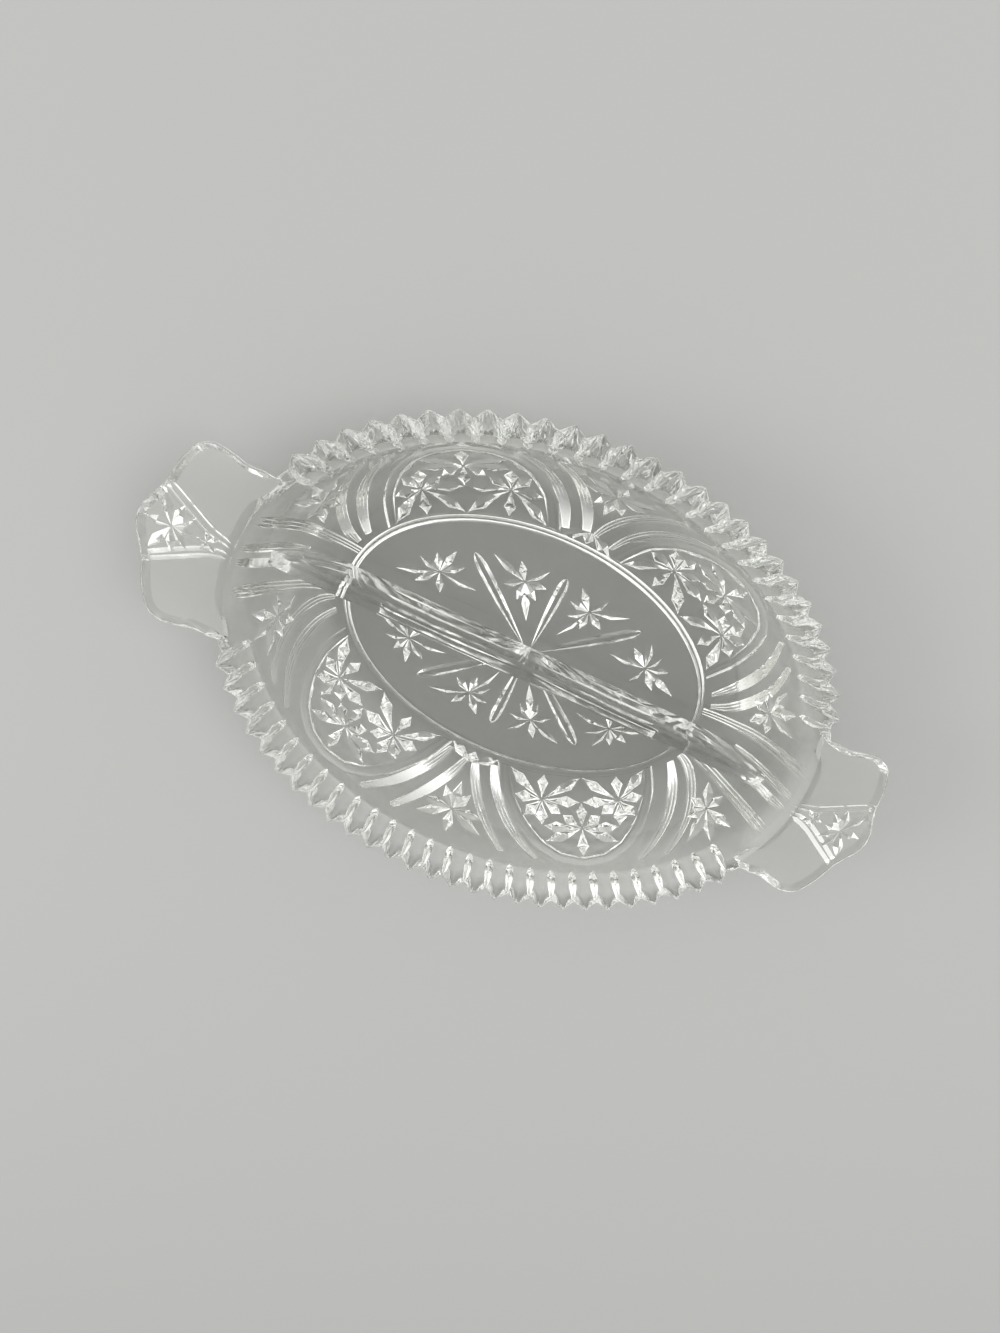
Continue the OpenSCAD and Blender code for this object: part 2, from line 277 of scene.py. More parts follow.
def plug(tree, slot, value):
    """Sets a socket, or links to it a flow, an output or the first output of a node."""
    if isinstance(value, Flow):
        value = value.socket
    elif isinstance(value, bpy.types.Node):
        value = value.outputs[0]
    if isinstance(value, bpy.types.NodeSocket):
        tree.links.new(value, slot)
    else:
        slot.default_value = value


def fill(tree, node, values):
    """Sets or links the inputs of a node by their names."""
    for key, value in values.items():
        plug(tree, node.inputs[key.replace("_", " ")], value)
    return node


def add_node(tree, kind, settings=None, **values):
    node = tree.nodes.new(kind)
    for key, value in (settings or {}).items():
        setattr(node, key, value)
    return fill(tree, node, values)


def vector(tree, **parts):
    return add_node(tree, "ShaderNodeCombineXYZ", **parts)


def parts_of(tree, value):
    """The three numbers of a vector."""
    split = add_node(tree, "ShaderNodeSeparateXYZ", Vector=value)
    return [Flow(tree, socket) for socket in split.outputs]


def board_flows(tree):
    """The three numbers of a point's place on its flat board."""
    return parts_of(tree, tree.nodes.new("GeometryNodeInputPosition"))


def attribute_flow(tree, name, kind="FLOAT"):
    node = add_node(tree, "GeometryNodeInputNamedAttribute", {"data_type": kind}, Name=name)
    return Flow(tree, node.outputs[0])


def shape_of(tree, flow):
    return add_node(tree, "GeometryNodeObjectInfo", Object=flow).outputs["Geometry"]


def together(tree, *shapes):
    whole = tree.nodes.new("GeometryNodeJoinGeometry")
    for shape in shapes:
        plug(tree, whole.inputs[0], shape)
    return whole


def realized(tree, shape):
    return add_node(tree, "GeometryNodeRealizeInstances", Geometry=shape)


socket_kinds = {
    bpy.types.Object: "NodeSocketObject", bpy.types.Material: "NodeSocketMaterial",
    int: "NodeSocketInt", float: "NodeSocketFloat",
}


def new_tree(name, values):
    """Node tree with an input named for each value; returns it with a flow for each input."""
    tree = bpy.data.node_groups.new(name, "GeometryNodeTree")
    for side in ("INPUT", "OUTPUT"):
        tree.interface.new_socket("Geometry", in_out=side, socket_type="NodeSocketGeometry")
    for label, value in values.items():
        kind = next(socket_kinds[sort] for sort in socket_kinds if isinstance(value, sort))
        tree.interface.new_socket(label, in_out="INPUT", socket_type=kind)
    entry = tree.nodes.new("NodeGroupInput")
    flows = {label: Flow(tree, entry.outputs[label]) for label in ("Geometry", *values)}
    return tree, flows


def end_tree(tree, given, shape):
    """Realizes what the tree made, gives it its material and hands it out."""
    real = realized(tree, shape)
    dressed = add_node(tree, "GeometryNodeSetMaterial", Geometry=real, Material=given["Material"])
    plug(tree, tree.nodes.new("NodeGroupOutput").inputs[0], dressed)
    return tree


def plain_mesh(obj):
    """Mesh of an object with its modifiers carried out."""
    ready = obj.evaluated_get(bpy.context.evaluated_depsgraph_get())
    return bpy.data.meshes.new_from_object(ready)


def grow(name, base, build_tree, values):
    """Runs a tree on an object, with values for its inputs, and keeps the plain mesh."""
    tree = build_tree(values)
    modifier = base.modifiers.new(name, "NODES")
    modifier.node_group = tree
    for item in tree.interface.items_tree:
        if item.in_out == "INPUT" and item.name in values:
            modifier[item.identifier] = values[item.name]
    base.update_tag()
    mesh = plain_mesh(base)
    mesh.name = name
    discard(base)
    return link(bpy.data.objects.new(name, mesh))


def joined(first, *others):
    """One object of several closed pieces that don't overlap."""
    with mesh_work(first) as work:
        for piece in others:
            work.from_mesh(piece.data)
    discard(*others)
    return first


def combine(body, tool, operation):
    """Adds the tool to the body, or takes it away, and keeps a plain mesh."""
    modifier = body.modifiers.new(operation, "BOOLEAN")
    modifier.object = tool
    modifier.operation = operation
    modifier.solver = "MANIFOLD"
    mesh = plain_mesh(body)
    body.modifiers.clear()
    body.data = mesh
    discard(tool)
    return body


# Glass

def shader_of(material):
    """Node tree and shader of a new material."""
    material.use_nodes = True
    return material.node_tree, material.node_tree.nodes["Principled BSDF"]


def clear_glass():
    """Pressed soda glass: clear, faintly green, with the soft ripple of the mould on its skin."""
    material = bpy.data.materials.new("clear_glass")
    tree, shader = shader_of(material)
    place = tree.nodes.new("ShaderNodeTexCoord").outputs["Object"]
    ripple = add_node(
        tree, "ShaderNodeTexNoise", Vector=place, Scale=55.0, Detail=2.0, Roughness=0.45
    )
    grain = add_node(
        tree, "ShaderNodeTexNoise", Vector=place, Scale=900.0, Detail=3.0, Roughness=0.6
    )
    skin = add_node(tree, "ShaderNodeBump", Strength=0.35, Distance=0.0006, Height=ripple)
    pores = add_node(
        tree, "ShaderNodeBump", Strength=0.12, Distance=0.00008, Height=grain, Normal=skin
    )
    smear = add_node(
        tree, "ShaderNodeMapRange", Value=ripple, From_Min=0.35, From_Max=0.7, To_Min=0.0,
        To_Max=0.035,
    )
    fill(tree, shader, {
        "Base Color": (0.98, 0.988, 0.96, 1), "Transmission Weight": 1.0, "IOR": 1.52,
        "Normal": pores, "Roughness": smear,
    })
    return material


glass = clear_glass()
oval_values = {
    "Floor half length": floor_a, "Floor half width": floor_b, "Reach ratio": reach_ratio,
    "Material": glass,
}


# Wall, rim and teeth

# Stations of one tooth, from its tip to a valley, and how far it stands out there, as shares
half_tooth = [(0, 1), (0.04, 0.985), (0.1, 0.9), (0.2, 0.68), (0.3, 0.45), (0.4, 0.22), (0.5, 0)]
tooth = [(-x, out) for x, out in reversed(half_tooth)] + half_tooth[1:]
# Plain rim behind a handle, in shares of its length from either end of it: how long its crown
# rises, where the handle's root begins, and how long that grows
end_steps = 40
end_rise_share = 0.09
root_start_share = 0.13
root_rise_share = 0.14
# Points round the outline of the rim, and the widest seam that is welded in it
rim_steps = 1440
rim_seam = 0.004

# Lowest part of the band: height above its foot, and the share of its step out reached there
band_foot_shares = [(0.25, 0.45), (0.7, 0.8), (1.3, 1.0)]
# Heights at which the band's outside and inside have points, and one more inside
band_heights = (34, 36, 37.3, 39)
inner_band_foot = 32
# How far the plain rim swells out under a handle at each of the band's heights
root_swell = (0.2, 1.1, 3.0, 0)


def band_ring(out, low, root=0.0):
    """Section of the band where a tooth stands out, the crown is low and a handle is rooted.

    Each of the three is a share from 0 to 1.
    """
    top = tray_height - crown_dip * low

    def outer(z, grow=1.0):
        rise = (z - band_foot) / (top - band_foot)
        plain = blend(wall_reach, side_reach, rise)
        return plain + out * grow * blend(band_step, tooth_depth, rise)

    def inner(z):
        rise = (z - band_foot) / (tray_height - band_foot)
        return blend(inner_wall[-1][0], side_reach - rim_t, rise)

    ring = [(outer(band_foot + z, grow), band_foot + z) for z, grow in band_foot_shares]
    ring += [(outer(z) + root * swell, z) for z, swell in zip(band_heights, root_swell)]
    r, corner = rim_round, rim_round * round_corner_share
    ring += [(outer(top - r), top - r), (outer(top) - corner, top - corner), (outer(top) - r, top)]
    ring += [(blend(inner(top), outer(top), 0.5), top)]
    ring += [(inner(top) + r, top), (inner(top) + corner, top - corner), (inner(top - r), top - r)]
    ring += [(inner(z), z) for z in (*reversed(band_heights), inner_band_foot)]
    return ring


wall_steps = 22
wall_shares = [i / wall_steps for i in range(1, wall_steps + 1)]


def inside_of_wall():
    """Inside of the wall, from the floor to the band's foot: distance out and height."""
    inside = []
    for share in wall_shares:
        point, along = section_at(share)
        inside.append((point[0] - glass_t * along[1], point[1] + glass_t * along[0]))
    return [p for p in inside if p[1] < band_foot] + [(wall_reach - band_foot_t, band_foot)]


inner_wall = inside_of_wall()
foot_ring = [(-foot_ring_w * share, height) for share, height in (
    (1, foot_h), (0.75, foot_h * 0.45), (0.6, foot_edge), (0.5, 0),
    (0.4, foot_edge), (0.25, foot_h * 0.45), (0, foot_h),
)]


def full_ring(out, low, root=0.0):
    """Whole section of the tray: foot, outside of the wall, rim, inside of the wall, floor."""
    outside = [(-foot_ring_w - underside_inset, foot_h)] + foot_ring
    outside += [tuple(section_at(share)[0]) for share in wall_shares]
    inside = [*reversed(inner_wall), (0.0, floor_top), (-floor_inset, floor_top)]
    return outside + band_ring(out, low, root) + inside


def strip(name, stations, rings):
    """Open strip of wall: one ring of the section at each station along X."""
    count = len(rings[0])
    points = [(x, out, z) for x, ring in zip(stations, rings) for out, z in ring]
    faces = [
        (k * count + i, (k + 1) * count + i, (k + 1) * count + i + 1, k * count + i + 1)
        for k in range(len(stations) - 1) for i in range(count - 1)
    ]
    return mesh_object(name, points, faces)


def oval_flow(tree, given, angle, out, height):
    """Place at an angle of the oval, at a distance out from the floor's edge."""
    x = (out * given["Reach ratio"] + given["Floor half length"]) * angle.calc("COSINE")
    y = (out + given["Floor half width"]) * angle.calc("SINE")
    return vector(tree, X=x, Y=y, Z=height)


def rim_tree(values):
    """Repeats the tooth strip along both sides, adds plain ends and bends all round the oval."""
    tree, given = new_tree("rim_round_the_oval", values)
    outline = shape_of(tree, given["Rim outline"])
    around = Flow(tree, add_node(tree, "GeometryNodeCurveLength", Curve=outline).outputs[0])
    half_round = around / given["Tooth pitch"] / 2.0
    row = add_node(
        tree, "GeometryNodeMeshLine", Count=given["Teeth"], Offset=(1, 0, 0),
        Start_Location=vector(tree, X=(given["Teeth"] - 1.0) / -2.0),
    )
    side = add_node(
        tree, "GeometryNodeInstanceOnPoints", Points=row, Instance=given["Geometry"]
    )
    end = add_node(
        tree, "GeometryNodeTransform", Geometry=shape_of(tree, given["End strip"]),
        Translation=vector(tree, X=given["Teeth"] / 2.0),
        Scale=vector(tree, X=half_round - given["Teeth"], Y=1.0, Z=1.0),
    )
    half = together(tree, side, end)
    other_half = add_node(
        tree, "GeometryNodeTransform", Geometry=half, Translation=vector(tree, X=half_round)
    )
    real = realized(tree, together(tree, half, other_half))

    along, out, height = board_flows(tree)
    travel = (along * given["Tooth pitch"]).calc("FLOORED_MODULO", around)
    spot = add_node(
        tree, "GeometryNodeSampleCurve", {"mode": "LENGTH"}, Curves=outline, Length=travel
    )
    rim_x, rim_y, _ = parts_of(tree, spot.outputs["Position"])
    angle = (rim_y / given["Rim half width"]).calc("ARCTAN2", rim_x / given["Rim half length"])
    place = oval_flow(tree, given, angle, out, height)
    bent = add_node(tree, "GeometryNodeSetPosition", Geometry=real, Position=place)
    welded = add_node(tree, "GeometryNodeMergeByDistance", Geometry=bent, Distance=rim_seam)
    return end_tree(tree, given, welded)


def tray_shell():
    """Wall, rim and floor, before anything is grown onto them or cut out of them."""
    rings = [full_ring(out, 1 - (1 - 2 * abs(x)) ** 2) for x, out in tooth]
    tooth_strip = strip("tooth_strip", [x for x, _ in tooth], rings)
    end_stations = [i / end_steps for i in range(end_steps + 1)]
    from_end = [min(x, 1 - x) for x in end_stations]
    lows = [max(0.0, 1 - x / end_rise_share) ** 2 for x in from_end]
    roots = [soft_step((x - root_start_share) / root_rise_share) for x in from_end]
    end_rings = [full_ring(0, low, root) for low, root in zip(lows, roots)]
    end_strip = strip("end_strip", end_stations, end_rings)
    outline = curve_object("rim_outline", [
        (rim_half_length * math.sin(a), rim_half_width * math.cos(a), 0)
        for a in np.linspace(0, 2 * math.pi, rim_steps, endpoint=False)
    ], True)
    shell = grow("tray_shell", tooth_strip, rim_tree, {
        "End strip": end_strip, "Rim outline": outline, "Teeth": teeth, "Tooth pitch": tooth_pitch,
        "Rim half length": rim_half_length, "Rim half width": rim_half_width, **oval_values,
    })
    discard(end_strip, outline)
    with mesh_work(shell) as work:
        bmesh.ops.holes_fill(work, edges=[e for e in work.edges if e.is_boundary], sides=0)
    return outward(shell)


# Laying flat boards of pattern on the wall: angle in degrees, share of the wall, height off it

def in_four_quarters(tree, given):
    """Mirrors a board of the first quarter into all four."""
    copies = add_node(
        tree, "GeometryNodeInstanceOnPoints", Points=shape_of(tree, given["Quarters"]),
        Instance=given["Geometry"],
        Scale=vector(tree, X=attribute_flow(tree, "mirror"), Y=1.0, Z=1.0),
    )
    return realized(tree, copies)


def wall_flow(tree, given, angle, share, off):
    """Place on the wall of a board's spot."""
    spot = add_node(
        tree, "GeometryNodeSampleCurve", {"mode": "FACTOR"},
        Curves=shape_of(tree, given["Wall section"]), Factor=share / given["Section span"],
    )
    out, _, height = parts_of(tree, spot.outputs["Position"])
    ahead_out, _, ahead_up = parts_of(tree, spot.outputs["Tangent"])
    return oval_flow(
        tree, given, angle * math.radians(1), out + off * ahead_up, height - off * ahead_out
    )


def laid_on_wall(tree, given, shape, angle, share, off):
    """Lays a board on the wall, square to its surface."""
    place = wall_flow(tree, given, angle, share, off)
    return add_node(tree, "GeometryNodeSetPosition", Geometry=shape, Position=place)


def marked_points(name, points, labels, rows):
    """Loose points, each with its row of numbers under the labels."""
    spots = mesh_object(name, points)
    for label, numbers in zip(labels, zip(*rows)):
        mark(spots, label, numbers)
    return spots


quarter_points = marked_points(
    "quarter_points", [(quarter_angle(0, sx, sy), 0, 0) for sx, sy in quarters],
    ["mirror"], [[sx * sy] for sx, sy in quarters],
)
# The section runs on past the wall's top, up the flare of the band, for the ends of ribs
section_top = np.array([side_reach, tray_height])
section_span = 1 + np.linalg.norm(section_top - curve_points[-1]) / wall_run
wall_section = curve_object(
    "wall_section", [(p[0], 0, p[1]) for p in (*curve_points, section_top)], False
)
wall_values = {
    "Quarters": quarter_points, "Wall section": wall_section, "Section span": section_span,
    **oval_values,
}


# Ribs

# The ribs of the first quarter: angle, share of the wall and half width at a few places
rib_runs = [
    [[89, 0.07, 0.9], [86.6, 0.28, 2.3], [82.3, 0.56, 2.5], [76.5, 0.87, 0.8]],
    [[83, 0.07, 0.9], [80.2, 0.3, 2.4], [74.6, 0.62, 2.6], [68.4, 0.88, 0.8]],
    [[13.6, 0.07, 0.9], [16, 0.26, 2.3], [25.5, 0.62, 2.5], [35.5, 0.9, 0.8]],
    [[19, 0.07, 0.9], [24.5, 0.3, 2.4], [32, 0.58, 2.6], [42.5, 0.9, 0.8]],
    [[10.2, 0.0, 1.7], [9.9, 0.3, 2.1], [10.3, 0.6, 2.5], [9.9, 1.0, 2.7], [9.6, 1.19, 2.4]],
    [[3.0, 0.42, 0.3], [2.6, 0.6, 1.5], [2.4, 0.8, 1.6], [2.0, 1.06, 1.5], [1.9, 1.19, 1.4]],
]
rib_steps = 8
rib_sink_share = 0.22
rib_sides = 4
# A rib is a bundle of fine ridges: how far each stands aside, and its half width, as shares of
# the rib's own
wall_ridges = (-0.6, 0, 0.6)
handle_ridges = (-0.6, 0.6)
ridge_share = 0.37


def ridge_runs(runs, ridge, moved_aside):
    """Runs of one ridge of every rib."""
    return [
        [[*moved_aside(a, b, ridge * width), width * ridge_share] for a, b, width in run]
        for run in runs
    ]


def rib_lines(name, runs):
    """Open polylines with the rib's half width at each point, sunk so that most of it shows."""
    points, edges, widths = [], [], []
    for run in runs:
        first = len(points)
        for a, b, width in smooth_path(run, rib_steps):
            points.append((a, b, -rib_sink_share * width))
            widths.append(width)
        edges += [(i, i + 1) for i in range(first, len(points) - 1)]
    lines = mesh_object(name, points, edges=edges)
    mark(lines, "half_width", widths)
    return lines


def swept_ribs(tree, given, lines, upright):
    """Ridges along lines, as thick as their points say, with one edge along the upright."""
    curves = add_node(tree, "GeometryNodeMeshToCurve", Mesh=lines)
    sized = add_node(
        tree, "GeometryNodeSetCurveRadius", Curve=curves, Radius=attribute_flow(tree, "half_width")
    )
    stood = add_node(
        tree, "GeometryNodeSetCurveNormal", {"mode": "FREE"}, Curve=sized, Normal=upright
    )
    circle = add_node(
        tree, "GeometryNodeCurvePrimitiveCircle", Resolution=given["Rib sides"], Radius=1.0
    )
    return add_node(
        tree, "GeometryNodeCurveToMesh", Curve=stood, Profile_Curve=circle, Fill_Caps=True
    )


def wall_ribs_tree(values):
    tree, given = new_tree("ribs_on_the_wall", values)
    angle, share, off = board_flows(tree)
    square = add_node(tree, "ShaderNodeVectorMath", {"operation": "SUBTRACT"})
    for slot, height in zip(square.inputs, (off + 1.0, off)):
        plug(tree, slot, wall_flow(tree, given, angle, share, height))
    kept = add_node(
        tree, "GeometryNodeStoreNamedAttribute", {"data_type": "FLOAT_VECTOR"},
        Geometry=in_four_quarters(tree, given), Name="square", Value=square,
    )
    laid = laid_on_wall(tree, given, kept, angle, share, off)
    upright = attribute_flow(tree, "square", "FLOAT_VECTOR")
    return end_tree(tree, given, swept_ribs(tree, given, laid, upright))


def flat_ribs_tree(values):
    tree, given = new_tree("ribs_on_a_flat", values)
    ribs = swept_ribs(tree, given, given["Geometry"], vector(tree, Z=1.0))
    return end_tree(tree, given, ribs)


def wall_ribs():
    def moved_aside(angle, share, off):
        return angle + off / mm_per_degree(angle, min(share, 1)), share

    pieces = []
    for ridge in wall_ridges:
        lines = rib_lines("rib_lines", ridge_runs(rib_runs, ridge, moved_aside))
        values = {"Rib sides": rib_sides, **wall_values}
        pieces.append(outward(grow("wall_ribs", lines, wall_ribs_tree, values)))
    return pieces


# Handles

handle_reach = tray_half_length - rim_half_length
handle_half_w = 31.0
# Outline of a tab, from its neck in the rim to its tip, as shares of its reach and half width
handle_outline_shares = [
    [-0.22, 0.95], [-0.05, 0.94], [0.16, 0.98], [0.38, 1], [0.57, 0.93], [0.69, 0.76],
    [0.76, 0.58], [0.8, 0.43], [0.88, 0.29], [0.97, 0.14], [1, 0],
]
handle_outline_steps = 6
# Root of a tab in the rim: distance out, and its angle to either side of the tray's length
handle_root_out = 32.4
handle_root_angle = 21
handle_root_points = 15
handle_t = 4.6
# Edge of a handle from its underside up: inset and height
handle_edge = [
    (2.6, 0), (0.5, 2.1), (0.2, 2.5), (0.03, 3.0), (0, 3.4), (0.12, 3.95), (0.45, 4.4),
    (1.0, handle_t),
]


def handle(side):
    """Tab of a handle with rounded edges, rooted in the plain rim."""
    half = smooth_path(handle_outline_shares, handle_outline_steps)
    half = [np.array([rim_half_length + s[0] * handle_reach, s[1] * handle_half_w]) for s in half]
    edge = np.array(half + [p * (1, -1) for p in reversed(half[:-1])])
    ahead = np.gradient(edge, axis=0)
    ahead /= np.linalg.norm(ahead, axis=1)[:, None]
    inward = np.stack([ahead[:, 1], -ahead[:, 0]], 1)
    root_angles = np.linspace(-handle_root_angle, handle_root_angle, handle_root_points)
    root = [oval_at(a, handle_root_out, 0)[:2] for a in root_angles]
    rings = [
        [(x * side, y, handle_foot + rise) for x, y in (*(edge + inward * inset), *root)]
        for inset, rise in handle_edge
    ]
    return ringed_body("handle", rings)


# Divider

divider_half_w = 3.5
divider_top_half_w = 2.9
# How far the divider's top lies under the rim, and how deep its foot is buried in the floor
divider_drop = 15
divider_top = tray_height - divider_drop
divider_bury = 1.5
divider_least_h = 2
divider_reach = 100.4
divider_stations = 121
# Top of the divider from one side to its middle: half width, and depth below its two crests
divider_crests = [
    (divider_top_half_w + 0.1, 1.5), (divider_top_half_w, 0.9), (divider_top_half_w * 0.62, 0),
    (0, 0.72),
]


def inside_height(x):
    """Height of the inside of the end wall at a distance along the tray."""
    out = (abs(x) - floor_a) / reach_ratio
    if out <= 0:
        return floor_top
    reach = [0.0, *(p[0] for p in inner_wall)]
    rise = [floor_top, *(p[1] for p in inner_wall)]
    return float(np.interp(out, reach, rise))


def divider():
    """Bar with a grooved top, buried in the floor and in the end walls."""
    top = divider_crests + [(-y, drop) for y, drop in reversed(divider_crests[:-1])]
    rings = []
    for x in np.linspace(-divider_reach, divider_reach, divider_stations):
        low = min(inside_height(x) - divider_bury, divider_top - divider_least_h)
        rings.append([
            (x, -divider_half_w, low), (x, divider_half_w, low),
            *((x, y, divider_top - drop) for y, drop in top),
        ])
    return ringed_body("divider", rings)


# Pattern fields under the arches

field_depth = 0.5
# How far cutters stand clear of the surface that they cut
overrun = 0.7
# Radius that turns angles into lengths where the middle of a facet is sought
lattice_radius = 78
# Rows of the lattice: share of the wall, angle of the arch's middle and spacing of its columns
lattice_rows = [(0.015, 54.3, 12.7), (0.28, 55.3, 11.8), (0.54, 56.0, 10.7), (0.83, 56.5, 10.0)]
foot_row, star_row, top_row, end_row, arch_top = 0.015, 0.28, 0.54, 0.7, 0.835
side_edge = [(1.9, foot_row), (1.7, star_row), (1.45, 0.47), (1.33, top_row), (0.95, end_row)]
arch_shoulder = (0.5, 0.803)
# Cells of one half of the field, by the columns and rows of their corners
half_field = [
    [(0, foot_row), (1, foot_row), (1, star_row)],
    [(0, foot_row), (1, star_row), (0, star_row)],
    [(1, foot_row), side_edge[0], (1, star_row)],
    [(1, star_row), side_edge[0], side_edge[1]],
    [(0, star_row), (1, star_row), (0, top_row)],
    [(1, star_row), (1, top_row), (0, top_row)],
    [(1, star_row), side_edge[1], side_edge[2]],
    [(1, star_row), side_edge[2], side_edge[3], (1, top_row)],
    [(0, top_row), (1, top_row), side_edge[4]],
    [(1, top_row), side_edge[3], side_edge[4]],
    [(0, top_row), side_edge[4], (0, end_row)],
    [(0, end_row), side_edge[4], arch_shoulder, (0, arch_top)],
]


def lattice_place(column, share):
    """Angle and share of the wall at a column of the lattice."""
    shares, middles, pitches = zip(*lattice_rows)
    return np.interp(share, shares, middles) + column * np.interp(share, shares, pitches), share


def cell_heart(cell):
    """Place inside a cell where its facets meet: the corners weighed by their opposite sides."""
    flat = [np.array([math.radians(a) * lattice_radius, share * wall_run]) for a, share in cell]
    weights = [1.0] * len(cell)
    if len(cell) == 3:
        weights = [np.linalg.norm(flat[(i + 1) % 3] - flat[(i + 2) % 3]) for i in range(3)]
    return np.average(np.array(cell), axis=0, weights=weights)


# Cove round the field: columns and shares of its outer edge, from the foot to the arch's middle
cove_edge = [(2.2, 0.015), (2.02, 0.28), (1.78, 0.475), (1.63, 0.575), (1.22, 0.755), (0.66, 0.885)]
cove_top = (0, 0.925)
cove_steps = 8
cove_depth = 1.1
cove_lip = 0.05
edge_steps = 4
cell_seam = 0.0002


def field_cutter():
    """Cutter of one arch: four-sided studs with sharp valleys between, and a cove round them."""
    cells = [[lattice_place(*spot) for spot in cell] for cell in half_field]
    cells += [[lattice_place(-column, share) for column, share in cell] for cell in half_field]
    points, faces = [], []

    def add(place, off):
        points.append((place[0], place[1], off))
        return len(points) - 1

    def run_between(a, b):
        a, b = np.array(a), np.array(b)
        return [a + (b - a) * k / edge_steps for k in range(edge_steps + 1)]

    for cell in cells:
        heart = cell_heart(cell)
        deep_heart, high_heart = add(heart, 0), add(heart, overrun)
        for i, a in enumerate(cell):
            run = run_between(a, cell[(i + 1) % len(cell)])
            deep = [add(p, -field_depth) for p in run]
            high = [add(p, overrun) for p in run]
            for k in range(edge_steps):
                faces.append((deep[k], deep[k + 1], deep_heart))
                faces.append((high[k + 1], high[k], high_heart))

    half_edge = [*side_edge, arch_shoulder, (0, arch_top)]
    half_cove = [*cove_edge, cove_top]
    inner = half_edge + [(-column, share) for column, share in reversed(half_edge[:-1])]
    outer = half_cove + [(-column, share) for column, share in reversed(half_cove[:-1])]

    def cove_off(k):
        return -field_depth * (1 - k) - cove_depth * 4 * k * (1 - k) - cove_lip * k

    rows = []
    for a_in, b_in, a_out, b_out in zip(inner, inner[1:], outer, outer[1:]):
        run_in = run_between(lattice_place(*a_in), lattice_place(*b_in))
        run_out = run_between(lattice_place(*a_out), lattice_place(*b_out))
        rows += list(zip(run_in, run_out))[1 if rows else 0:]
    deep, high = [], []
    for at_in, at_out in rows:
        places = [at_in + (at_out - at_in) * k / cove_steps for k in range(cove_steps + 1)]
        deep.append([add(p, cove_off(k / cove_steps)) for k, p in enumerate(places)])
        high.append([add(p, overrun) for p in places])
    for j in range(len(rows) - 1):
        for k in range(cove_steps):
            faces.append((deep[j][k], deep[j][k + 1], deep[j + 1][k + 1], deep[j + 1][k]))
            faces.append((high[j][k + 1], high[j][k], high[j + 1][k], high[j + 1][k + 1]))
        faces.append((deep[j][-1], high[j][-1], high[j + 1][-1], deep[j + 1][-1]))
    for j in (0, -1):
        faces += [
            (deep[j][k], high[j][k], high[j][k + 1], deep[j][k + 1]) for k in range(cove_steps)
        ]
    side = side_edge[0][0]
    foot = [lattice_place(column, foot_row)[0] for column in (-side, -1, 0, 1, side)]
    for a, b in zip(foot, foot[1:]):
        run = run_between((a, foot_row), (b, foot_row))
        low = [add(p, -field_depth) for p in run]
        top = [add(p, overrun) for p in run]
        faces += [(low[k], top[k], top[k + 1], low[k + 1]) for k in range(edge_steps)]
    return outward(mesh_object("field_cutter", points, faces), join=cell_seam)


def fields_tree(values):
    tree, given = new_tree("fields_on_the_wall", values)
    four = in_four_quarters(tree, given)
    return end_tree(tree, given, laid_on_wall(tree, given, four, *board_flows(tree)))


def arch_fields():
    return outward(grow("arch_fields", field_cutter(), fields_tree, wall_values))


# Cuts pressed into the outside

def unit_cut(name, stations, half_widths, down, bottom=0.0, depths=None):
    """Cut of unit length, width and depth along X; its open side faces up, or down.

    The bottom is the share of its width that lies flat. Depths that aren't given are the widths.
    """
    turn = -1 if down else 1
    rings = []
    for x, w, depth in zip(stations, half_widths, depths or half_widths):
        ring = [(x, -w, turn), (x, -w, 0), (x, -w * bottom, -depth * turn)]
        if bottom:
            ring += [(x, w * bottom, -depth * turn)]
        rings.append(ring + [(x, w, 0), (x, w, turn)])
    return ringed_body(name, rings)


# Shape of each kind of cut: stations along it, and shares of its half width and depth there
star_stations = [0.06, 0.18, 0.3, 0.42, 0.56, 0.7, 0.85, 1]
star_widths = [0.1, 0.32, 0.54, 0.76, 1, 0.7, 0.36, 0.02]
lattice_stations = [0.05, 0.2, 0.35, 0.5, 0.66, 0.78, 0.89, 1]
lattice_widths = [0.07, 0.28, 0.5, 0.74, 1, 0.67, 0.34, 0.02]
lattice_depths = [0.5, 0.58, 0.69, 0.81, 0.93, 0.75, 0.54, 0.34]
notch_stations = [0, 0.12, 0.3, 0.5, 0.7, 0.86, 1]
notch_widths = [0.2, 0.8, 1, 1, 0.9, 0.6, 0.05]
petal_stations = [0.06, 0.2, 0.35, 0.55, 0.7, 0.85, 1]
petal_widths = [0.09, 0.34, 0.62, 1, 0.72, 0.38, 0.02]
ray_stations = [0, 0.1, 0.25, 0.5, 0.7, 0.85, 0.93, 0.98, 1]
ray_widths = [0.05, 0.3, 0.55, 0.85, 1, 1, 0.8, 0.45, 0.08]


def instanced_cuts(tree, given):
    """One unit cut at each place, turned and sized by the place's values."""
    labels = {"X": "reach", "Y": "half_width", "Z": "depth"}
    size = vector(tree, **{key: attribute_flow(tree, label) for key, label in labels.items()})
    turn = vector(tree, Z=attribute_flow(tree, "turn") * math.radians(1))
    cuts = add_node(
        tree, "GeometryNodeInstanceOnPoints", Points=given["Geometry"],
        Instance=shape_of(tree, given["Unit cut"]), Rotation=turn, Scale=size,
    )
    return realized(tree, cuts)


def flat_cuts_tree(values):
    tree, given = new_tree("cuts_on_a_flat", values)
    return end_tree(tree, given, instanced_cuts(tree, given))


def wall_cuts_tree(values):
    """Lays cuts of millimetres on the wall, round the place that each belongs to."""
    tree, given = new_tree("cuts_on_the_wall", values)
    cuts = instanced_cuts(tree, given)
    along, up, off = board_flows(tree)
    angle = attribute_flow(tree, "angle") + along * attribute_flow(tree, "angle_per_mm")
    share = attribute_flow(tree, "share") + up * attribute_flow(tree, "share_per_mm")
    return end_tree(tree, given, laid_on_wall(tree, given, cuts, angle, share, off))


